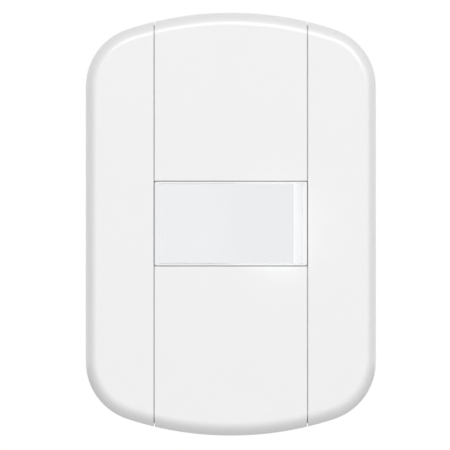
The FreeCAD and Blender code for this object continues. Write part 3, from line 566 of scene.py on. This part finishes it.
# Brass parts: the see-saw, the common bracket with its knife edge, and the two fixed contacts are
# stamped from strip, and the three clamp cages are bent from it.
brass = worked_metal(
    "brass",
    color=(0.75, 0.6, 0.28),
    roughness=0.26,
    grain_size=0.25 * mm,
    grain_depth=0.003 * mm,
    stretch=(1, 1, 9),
    mottle=0.2,
)
for node in ("rocking_contact", "common_bracket", "left_fixed_contact", "right_fixed_contact"):
    dress(softened(node, node + "_strip", 0.05, brass), node)
for side in ("left", "common", "right"):
    dress(softened(side + "_clamp_cage", side + "_cage", 0.08, brass), side + "_clamp_cage")


# Turned parts: zinc plated steel screws and silver rivets. One tree revolves a profile, cuts a
# thread into it, presses a cross recess into its head and sets the copies out in a row. The
# rivets have neither thread nor recess.
def turned_part_tree():
    """The node tree that makes a row of turned parts from a profile curve of (radius, height)."""
    tree = bpy.data.node_groups.new("turned_part", "GeometryNodeTree")
    sockets = {}
    for name, kind in (
        ("Profile", "NodeSocketObject"),
        ("Steps Around", "NodeSocketInt"),
        ("Steps Along", "NodeSocketInt"),
        ("Thread Low", "NodeSocketFloat"),
        ("Thread High", "NodeSocketFloat"),
        ("Thread Pitch", "NodeSocketFloat"),
        ("Thread Depth", "NodeSocketFloat"),
        ("Recess Length", "NodeSocketFloat"),
        ("Recess Width", "NodeSocketFloat"),
        ("Recess Depth", "NodeSocketFloat"),
        ("Copies", "NodeSocketInt"),
        ("Spacing", "NodeSocketFloat"),
        ("Material", "NodeSocketMaterial"),
    ):
        sockets[name] = tree.interface.new_socket(name, in_out="INPUT", socket_type=kind).identifier
    tree.interface.new_socket("Part", in_out="OUTPUT", socket_type="NodeSocketGeometry")
    given = tree.nodes.new("NodeGroupInput").outputs

    def node(kind, links=(), **settings):
        made = tree.nodes.new(kind)
        for setting, choice in settings.items():
            setattr(made, setting, choice)
        for socket, source in dict(links).items():
            if isinstance(source, (int, float)):
                made.inputs[socket].default_value = source
            else:
                tree.links.new(source, made.inputs[socket])
        return made.outputs

    def math_node(operation, *operands):
        return node("ShaderNodeMath", enumerate(operands), operation=operation)[0]

    # The profile, revolved: a grid whose first direction goes round and whose second goes along.
    cells = {"Vertices X": given["Steps Around"], "Vertices Y": given["Steps Along"]}
    grid = node("GeometryNodeMeshGrid", {"Size X": 1.0, "Size Y": 1.0, **cells})["Mesh"]
    spot = node("ShaderNodeSeparateXYZ", {0: node("GeometryNodeInputPosition")[0]})
    around = math_node("ADD", spot["X"], 0.5)
    turn = math_node("MULTIPLY", around, 2 * math.pi)
    along = math_node("ADD", spot["Y"], 0.5)
    profile = node("GeometryNodeObjectInfo", {"Object": given["Profile"]})["Geometry"]
    wanted = {"Curves": profile, "Factor": along}
    sample = node("GeometryNodeSampleCurve", wanted, mode="FACTOR", use_all_curves=True)
    outer = node("ShaderNodeSeparateXYZ", {0: sample["Position"]})
    radius, height = outer["X"], outer["Y"]

    # The thread winds down the stretch between its two heights, and runs out gently at both ends.
    pitch = given["Thread Pitch"]
    winding = math_node("SUBTRACT", math_node("DIVIDE", height, pitch), around)
    flank = math_node("PINGPONG", winding, 0.5)
    above = math_node("DIVIDE", math_node("SUBTRACT", height, given["Thread Low"]), pitch)
    below = math_node("DIVIDE", math_node("SUBTRACT", given["Thread High"], height), pitch)
    inside = node("ShaderNodeClamp", {0: math_node("MINIMUM", above, below), 1: 0.0, 2: 1.0})[0]
    depth = math_node("MULTIPLY", math_node("MULTIPLY", flank, 2.0), given["Thread Depth"])
    cut = math_node("SUBTRACT", radius, math_node("MULTIPLY", depth, inside))
    place = node(
        "ShaderNodeCombineXYZ",
        {
            "X": math_node("MULTIPLY", cut, math_node("COSINE", turn)),
            "Y": math_node("MULTIPLY", cut, math_node("SINE", turn)),
            "Z": height,
        },
    )[0]
    turned = node("GeometryNodeSetPosition", {"Geometry": grid, "Position": place})[0]
    closed = node("GeometryNodeMergeByDistance", {"Geometry": turned, "Distance": 0.001 * mm})[0]

    # The cross recess: two crossed bars, sunk into the head from its top at height zero.
    bars = []
    deep = math_node("MULTIPLY", given["Recess Depth"], 2.0)
    for length, width in (("Recess Length", "Recess Width"), ("Recess Width", "Recess Length")):
        size = node("ShaderNodeCombineXYZ", {"X": given[length], "Y": given[width], "Z": deep})[0]
        bars.append(node("GeometryNodeMeshCube", {"Size": size})["Mesh"])
    crossed = node("GeometryNodeMeshBoolean", {1: bars[0]}, operation="UNION", solver="EXACT")[0]
    tree.links.new(bars[1], crossed.node.inputs[1])
    cutting = {0: closed, 1: crossed}
    recessed = node("GeometryNodeMeshBoolean", cutting, operation="DIFFERENCE", solver="EXACT")[0]
    has_recess = math_node("GREATER_THAN", given["Recess Depth"], 0.0)
    part = node("GeometryNodeSwitch", {0: has_recess, 1: closed, 2: recessed}, input_type="GEOMETRY")[0]

    # Copies in a row across, centred, made real and given their metal.
    middle = math_node("MULTIPLY", math_node("SUBTRACT", given["Copies"], 1.0), -0.5)
    reach = math_node("MULTIPLY", middle, given["Spacing"])
    row = node(
        "GeometryNodeMeshLine",
        {
            "Count": given["Copies"],
            "Start Location": node("ShaderNodeCombineXYZ", {"X": reach})[0],
            "Offset": node("ShaderNodeCombineXYZ", {"X": given["Spacing"]})[0],
        },
        mode="OFFSET",
    )[0]
    copies = node("GeometryNodeInstanceOnPoints", {"Points": row, "Instance": part})[0]
    real = node("GeometryNodeRealizeInstances", {"Geometry": copies})[0]
    result = node("GeometryNodeSetMaterial", {"Geometry": real, "Material": given["Material"]})[0]
    tree.links.new(result, tree.nodes.new("NodeGroupOutput").inputs[0])
    return tree, sockets


turned_tree, turned_sockets = turned_part_tree()


def turned_part(name, profile, material, place, steps=(32, 60), thread=None, recess=None, copies=(1, 0)):
    """Turned parts in their place. Profile heights are below the head's top, in millimetres.

    The steps go around and along the part. A thread is given by its two heights, its pitch and its
    depth, a recess by the length, width and depth of its bars, and copies by number and spacing.
    """
    line = bpy.data.curves.new(name + "_profile", "CURVE")
    spline = line.splines.new("POLY")
    spline.points.add(len(profile) - 1)
    for point, (radius, height) in zip(spline.points, profile):
        point.co = (radius * mm, height * mm, 0, 1)
    shape = bpy.data.objects.new(name + "_profile", line)
    scene.collection.objects.link(shape)
    piece = new_piece(name, bpy.data.meshes.new(name), material)
    maker = piece.modifiers.new("turned_part", "NODES")
    maker.node_group = turned_tree
    low, high, pitch, depth = thread or (0, 0, 1, 0)
    length, width, sunk = recess or (1, 1, 0)
    for socket, value in (
        ("Profile", shape),
        ("Steps Around", steps[0] + 1),
        ("Steps Along", steps[1]),
        ("Thread Low", low * mm),
        ("Thread High", high * mm),
        ("Thread Pitch", pitch * mm),
        ("Thread Depth", depth * mm),
        ("Recess Length", length * mm),
        ("Recess Width", width * mm),
        ("Recess Depth", sunk * mm),
        ("Copies", copies[0]),
        ("Spacing", copies[1] * mm),
        ("Material", material),
    ):
        maker[turned_sockets[socket]] = value
    settle(piece)
    bpy.data.objects.remove(shape)
    mesh = piece.data
    skin = bmesh.new()
    skin.from_mesh(mesh)
    bmesh.ops.remove_doubles(skin, verts=skin.verts, dist=0.001 * mm)
    bmesh.ops.recalc_face_normals(skin, faces=skin.faces)
    skin.to_mesh(mesh)
    skin.free()
    mesh.transform(place)
    smooth(piece, 50)
    return piece


def dome(radius, reach):
    """The round end of a profile, from its edge in to the axis, where its height is zero."""
    steps = 10
    swing = math.asin(reach / radius)
    angles = [swing * (1 - step / steps) for step in range(steps + 1)]
    return [(radius * math.sin(angle), radius * (math.cos(angle) - 1)) for angle in angles]


zinc = worked_metal(
    "zinc_steel",
    color=(0.7, 0.71, 0.72),
    roughness=0.24,
    grain_size=0.2 * mm,
    grain_depth=0.002 * mm,
    stretch=(1, 1, 1),
    mottle=0.12,
)
silver = worked_metal(
    "silver",
    color=(0.82, 0.82, 0.8),
    roughness=0.22,
    grain_size=0.15 * mm,
    grain_depth=0.002 * mm,
    stretch=(1, 1, 1),
    mottle=0.1,
)

# The box screws hold the frame, and go into the wall box 83.3 mm apart.
box_spacing, box_head, box_neck, box_reach, frame_face = 83.3, 2.2, 2.0, 23.0, 2.0
box_tip, box_shank, box_thread, box_shoulder, box_dome = 0.95, 1.5, 1.75, 0.2, 6.0
box_head_radius, box_head_underside, box_head_edge = 3.1, 3.0, 0.12
box_end = -(box_head + box_neck + box_reach)
box_profile = [
    (0.0, box_end),
    (box_tip, box_end),
    (box_thread, box_end + box_thread - box_tip),
    (box_thread, -box_head - box_neck),
    (box_shank, -box_head - box_neck + box_shoulder),
    (box_shank, -box_head),
    (box_head_underside, -box_head),
    (box_head_radius, -box_head + box_head_edge),
]
box_profile += dome(box_dome, box_head_radius)
box_top = -(frame_face + box_head) * mm
into_wall = Matrix(((0, -1, 0, 0), (0, 0, -1, box_top), (1, 0, 0, 0), (0, 0, 0, 1)))
box_screws = turned_part(
    "box_screw_pair",
    box_profile,
    zinc,
    into_wall,
    steps=(24, 420),
    thread=(box_end + 0.3, -box_head - box_neck, 0.6, 0.3),
    recess=(3.7, 0.8, 1.1),
    copies=(2, box_spacing),
)
dress(box_screws, "box_screws")

# Each clamp screw stands upright below its wire, head down, and draws its cage towards the head.
clamp_spacing, clamp_depth, head_low, clamp_head, clamp_length = 12.5, 16.25, -9.6, 1.7, 8.05
clamp_tip, clamp_thread, clamp_neck, tip_length, clamp_edge = 1.2, 1.45, 1.3, 0.3, 0.1
clamp_underside, clamp_head_radius, clamp_face, face_edge = 1.9, 2.0, 1.85, 0.2
clamp_profile = [
    (0.0, -clamp_length),
    (clamp_tip, -clamp_length),
    (clamp_thread, -clamp_length + tip_length),
    (clamp_thread, -clamp_head - clamp_edge),
    (clamp_neck, -clamp_head),
    (clamp_underside, -clamp_head),
    (clamp_head_radius, -clamp_head + clamp_edge),
    (clamp_head_radius, -face_edge),
    (clamp_face, 0.0),
    (0.0, 0.0),
]
for side, across in (("left", -clamp_spacing), ("common", 0.0), ("right", clamp_spacing)):
    head = Matrix.Translation((across * mm, clamp_depth * mm, head_low * mm))
    screw = turned_part(
        side + "_terminal_screw",
        clamp_profile,
        zinc,
        head @ Matrix.Rotation(math.pi, 4, "X"),
        steps=(24, 150),
        thread=(-clamp_length, -clamp_head, 0.5, 0.25),
        recess=(2.4, 0.8, 1.1),
    )
    dress(screw, side + "_clamp_screw")

# Silver contact rivets: domed ones under the see-saw's ends, and flat ones on the fixed strips.
see_saw_depth, see_saw_tilt = 9.25, math.radians(5.0)
rivet_height, rivet_radius, rivet_dome, rivet_spacing = 0.9, 1.5, 3.0, 16.4
domed = [(0.0, -rivet_height), (rivet_radius, -rivet_height)] + dome(rivet_dome, rivet_radius)
towards_wall = Matrix(((1, 0, 0, 0), (0, 0, 1, rivet_height * mm), (0, -1, 0, 0), (0, 0, 0, 1)))
see_saw = Matrix.Translation((0, see_saw_depth * mm, 0)) @ Matrix.Rotation(see_saw_tilt, 4, "Z")
tilted = see_saw @ towards_wall
moving = turned_part("moving_rivet_pair", domed, silver, tilted, copies=(2, rivet_spacing))
dress(moving, "moving_contact_rivets")
fixed_low, fixed_high = (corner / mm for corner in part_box("fixed_contact_rivets"))
flat_height, flat_radius, flat_edge = fixed_high.y - fixed_low.y, 1.7, 0.12
flat = [
    (0.0, -flat_height),
    (flat_radius, -flat_height),
    (flat_radius, -flat_edge),
    (flat_radius - flat_edge, 0.0),
    (0.0, 0.0),
]
outwards = Matrix(((1, 0, 0, 0), (0, 0, -1, fixed_low.y * mm), (0, 1, 0, 0), (0, 0, 0, 1)))
spread = fixed_high.x - fixed_low.x - 2 * flat_radius
fixed = turned_part("fixed_rivet_pair", flat, silver, outwards, copies=(2, spread))
dress(fixed, "fixed_contact_rivets")


# Stage: a plain pale floor well below the switch, which hides nothing in a view from below. The
# world is white where a camera or a reflection looks, and gives plain grey light.
floor_drop, floor_size = 1.47, 60.0
bpy.ops.mesh.primitive_plane_add(size=floor_size, location=(0, 0, -floor_drop))
floor = bpy.context.object
floor.name = "floor"
floor_paint = bpy.data.materials.new("floor_paint")
floor_paint.use_nodes = True
paint = floor_paint.node_tree.nodes["Principled BSDF"]
paint.inputs["Base Color"].default_value = (0.9, 0.9, 0.9, 1)
paint.inputs["Roughness"].default_value = 0.9
floor.data.materials.append(floor_paint)

world_grey = 0.49
world = bpy.data.worlds.new("studio")
scene.world = world
world.use_nodes = True
background = world.node_tree.nodes["Background"]
background.inputs["Color"].default_value = (1, 1, 1, 1)
rays = world.node_tree.nodes.new("ShaderNodeLightPath")
seen = world.node_tree.nodes.new("ShaderNodeMath")
seen.operation = "MAXIMUM"
seen_through = world.node_tree.nodes.new("ShaderNodeMath")
seen_through.operation = "MAXIMUM"
level = world.node_tree.nodes.new("ShaderNodeMapRange")
level.inputs["To Min"].default_value = world_grey
level.inputs["To Max"].default_value = 1.0
links = world.node_tree.links
links.new(rays.outputs["Is Camera Ray"], seen.inputs[0])
links.new(rays.outputs["Is Glossy Ray"], seen.inputs[1])
links.new(seen.outputs["Value"], seen_through.inputs[0])
links.new(rays.outputs["Is Transmission Ray"], seen_through.inputs[1])
links.new(seen_through.outputs["Value"], level.inputs["Value"])
links.new(level.outputs["Result"], background.inputs["Strength"])


# Lamps: one large soft lamp in front, with a twin that lights only the key, and a weak one at the
# right. The strip overhead and the card at the right only reflect. Two small strips light the
# key's raised end and its underside.
def linked(name, pieces, state):
    """A collection that says which pieces a lamp includes, or which it excludes."""
    group = bpy.data.collections.new(name)
    for piece in pieces:
        group.objects.link(piece)
    for member in group.collection_objects:
        member.light_linking.link_state = state
    return group


def soft_lamp(name, distance, azimuth, elevation, width, tall, power, lights=(), skips=(), passes=()):
    """An area lamp that faces the switch. Azimuth 0 is straight in front, and positive is right.

    It can light only some pieces, skip some, and pass through some without a shadow.
    """
    lamp = bpy.data.lights.new(name, "AREA")
    lamp.shape = "RECTANGLE"
    lamp.size = width
    lamp.size_y = tall
    lamp.energy = power
    holder = bpy.data.objects.new(name, lamp)
    scene.collection.objects.link(holder)
    turn, rise = math.radians(azimuth), math.radians(elevation)
    holder.location = (
        distance * math.cos(rise) * math.sin(turn),
        -distance * math.cos(rise) * math.cos(turn),
        distance * math.sin(rise),
    )
    holder.rotation_euler = (-holder.location).to_track_quat("-Z", "Y").to_euler()
    holder.visible_camera = False
    if lights:
        holder.light_linking.receiver_collection = linked(name + "_lights", lights, "INCLUDE")
    if skips:
        holder.light_linking.receiver_collection = linked(name + "_skips", skips, "EXCLUDE")
    if passes:
        holder.light_linking.blocker_collection = linked(name + "_passes", passes, "EXCLUDE")
    return holder


in_front = dict(distance=3.5, azimuth=0, elevation=22, width=4.0, tall=2.4)
front = soft_lamp("front_lamp", **in_front, power=68.5, skips=(key,), passes=(key,))
twin = soft_lamp("front_lamp_on_key", **in_front, power=65.0, lights=(key,), passes=(key, body))
for lamp in (front, twin):
    lamp.visible_glossy = False
at_right = dict(distance=2.0, azimuth=75, elevation=10, width=1.0, tall=1.0)
soft_lamp("right_lamp", **at_right, power=3.2, passes=(key,))
overhead = dict(distance=1.1, azimuth=16, elevation=45, width=1.8, tall=0.95)
strip = soft_lamp("overhead_strip", **overhead, power=14.0)
beside = dict(distance=0.5, azimuth=86, elevation=0, width=0.06, tall=0.3)
soft_lamp("right_strip", **beside, power=0.45, lights=(key,))
below = dict(distance=0.2, azimuth=0, elevation=-85, width=0.3, tall=0.06)
soft_lamp("low_strip", **below, power=0.22, lights=(key,), passes=(body,))
aslant = dict(distance=0.5, azimuth=62, elevation=0, width=0.4, tall=0.4)
card = soft_lamp("right_card", **aslant, power=1.0, lights=(key,))
for lamp in (strip, card):
    lamp.visible_diffuse = False


# Camera: straight in front of the switch and a little below it, with a long lens. The switch lies
# in the picture where the photograph has it.
view_drop, camera_distance, sensor_width = 0.8, 3.0, 36.0
photo_pixels, millimetres_per_pixel = 450, 0.2826
middle_in_photo = (230.81, 224.1)
camera_data = bpy.data.cameras.new("camera")
camera_data.sensor_width = sensor_width
camera_data.lens = sensor_width * camera_distance / (photo_pixels * millimetres_per_pixel * mm)
camera = bpy.data.objects.new("camera", camera_data)
scene.collection.objects.link(camera)
scene.camera = camera
drop = math.radians(view_drop)
aside = (photo_pixels / 2 - middle_in_photo[0]) * millimetres_per_pixel * mm
above = (middle_in_photo[1] - photo_pixels / 2) * millimetres_per_pixel * mm
camera.location = (aside, -camera_distance * math.cos(drop), above - camera_distance * math.sin(drop))
camera.rotation_euler = (math.pi / 2 + drop, 0, 0)
